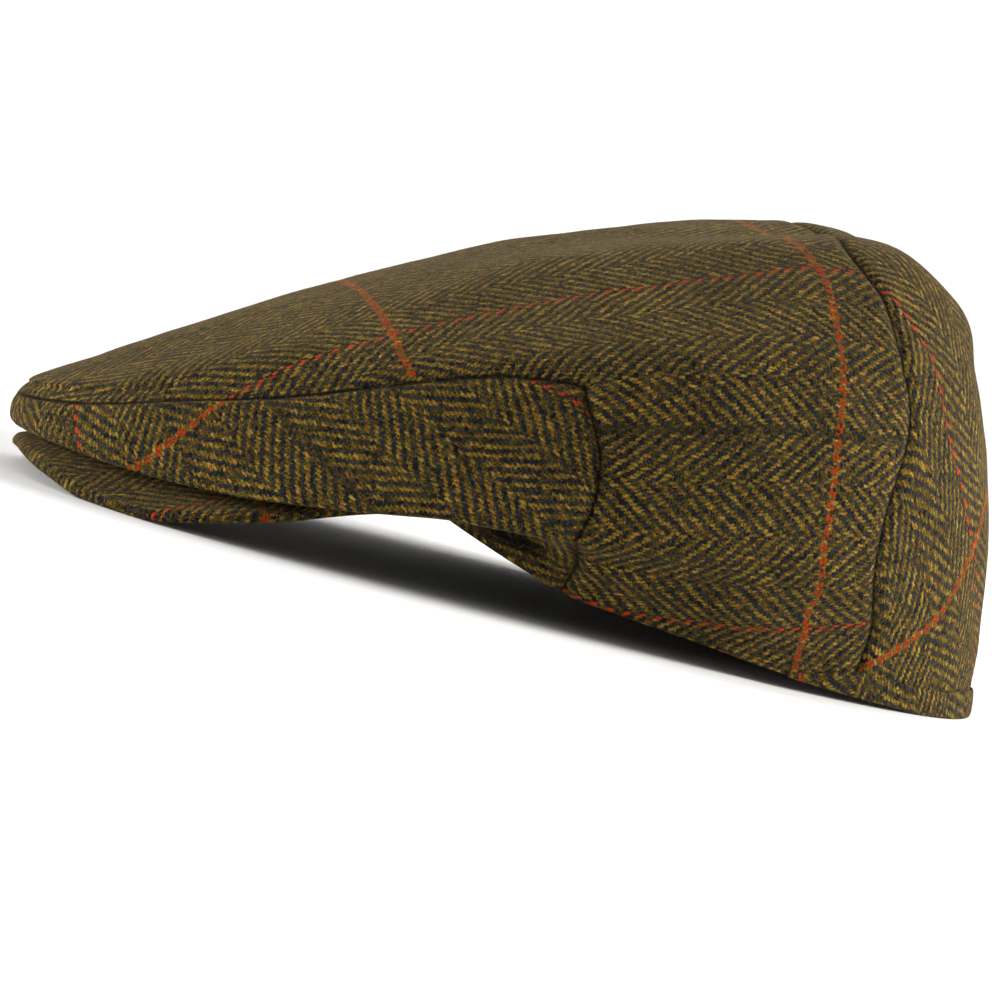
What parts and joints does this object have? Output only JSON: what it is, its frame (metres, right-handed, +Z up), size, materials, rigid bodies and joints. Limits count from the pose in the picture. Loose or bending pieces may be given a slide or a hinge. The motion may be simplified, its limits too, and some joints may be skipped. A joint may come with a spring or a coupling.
{
  "type": "flat cap",
  "caption": "Tweed flat cap: a rounded crown of sewn panels that overhangs a short stiff visor, with a turned-up hem at the back and an open hollow for the head.",
  "frame": {"origin": "centre of the bounding box's underside, on the surface that the cap stands on", "axes": "+Z up, -Y towards the visor, +X towards the wearer's left"},
  "size_m": [0.1932, 0.263, 0.1124],
  "materials": {
    "crown_cloth": "matt heathered wool herringbone with a thin windowpane check",
    "band_cloth": "matt heathered wool herringbone, cut on the bias",
    "visor_cloth": "matt heathered wool herringbone stretched over a stiff visor"
  },
  "bodies": {
    "root": {"crown_top_panel": "crown_cloth", "front_side_panel_left": "crown_cloth", "front_side_panel_right": "crown_cloth", "back_panel_left": "crown_cloth", "back_panel_right": "crown_cloth", "rear_band": "band_cloth", "visor": "visor_cloth"}
  },
  "joints": []
}
